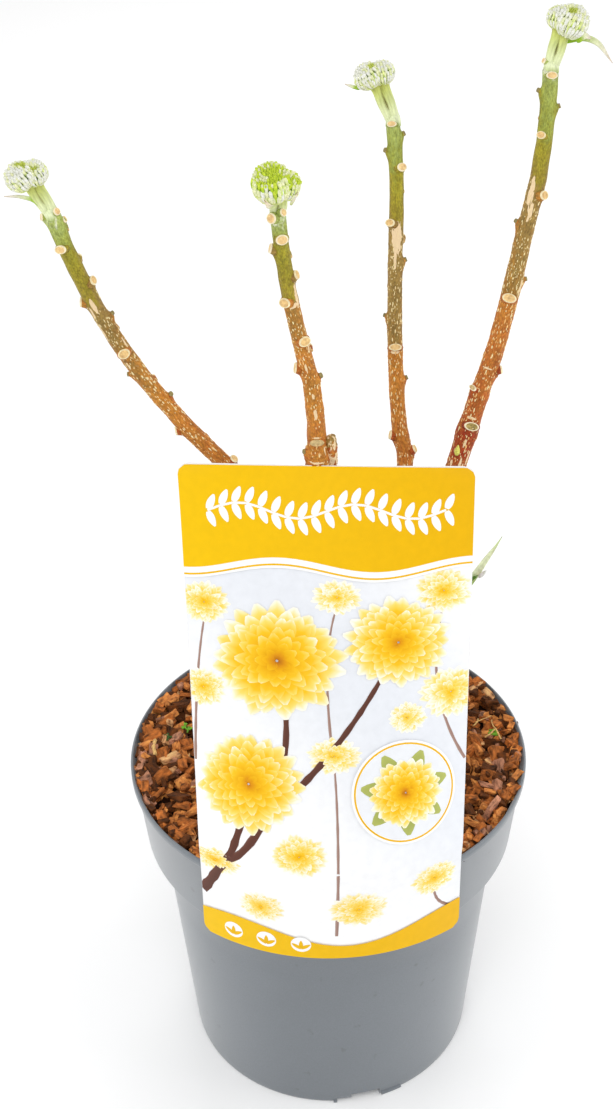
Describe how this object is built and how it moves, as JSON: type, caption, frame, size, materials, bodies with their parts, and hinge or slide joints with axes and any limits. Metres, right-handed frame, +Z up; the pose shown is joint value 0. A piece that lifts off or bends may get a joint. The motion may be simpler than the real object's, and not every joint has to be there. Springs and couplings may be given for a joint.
{
  "type": "potted paperbush shrub",
  "caption": "Leafless shrub in a round nursery pot: short trunk, long bare stems with leaf scars, silky bud heads on stalks, and a tall printed card hooked over the pot's lip.",
  "frame": {"origin": "middle of the pot's flat underside, on the surface that the pot stands on", "axes": "+Z up, -Y towards the face of the printed card, +X to the viewer's right"},
  "size_m": [0.2338, 0.1916, 0.5248],
  "materials": {
    "pot_plastic": "satin moulded blue-grey plastic",
    "bark_mix": "rough red-brown bark chips",
    "stem_bark": "smooth bark with pale pores, green to orange-brown",
    "silky_buds": "silky white hairs over lime green",
    "shoot_leaves": "soft green leaf",
    "printed_card": "semi-gloss printed plastic card"
  },
  "bodies": {
    "root": {"pot": "pot_plastic", "growing_mix": "bark_mix", "trunk": "stem_bark", "bough_left": "stem_bark", "bough_front": "stem_bark", "bough_back": "stem_bark", "bough_right": "stem_bark", "head_left": "silky_buds", "head_front": "silky_buds", "head_back": "silky_buds", "head_right": "silky_buds", "side_shoot": "shoot_leaves", "card": "printed_card"}
  },
  "joints": []
}
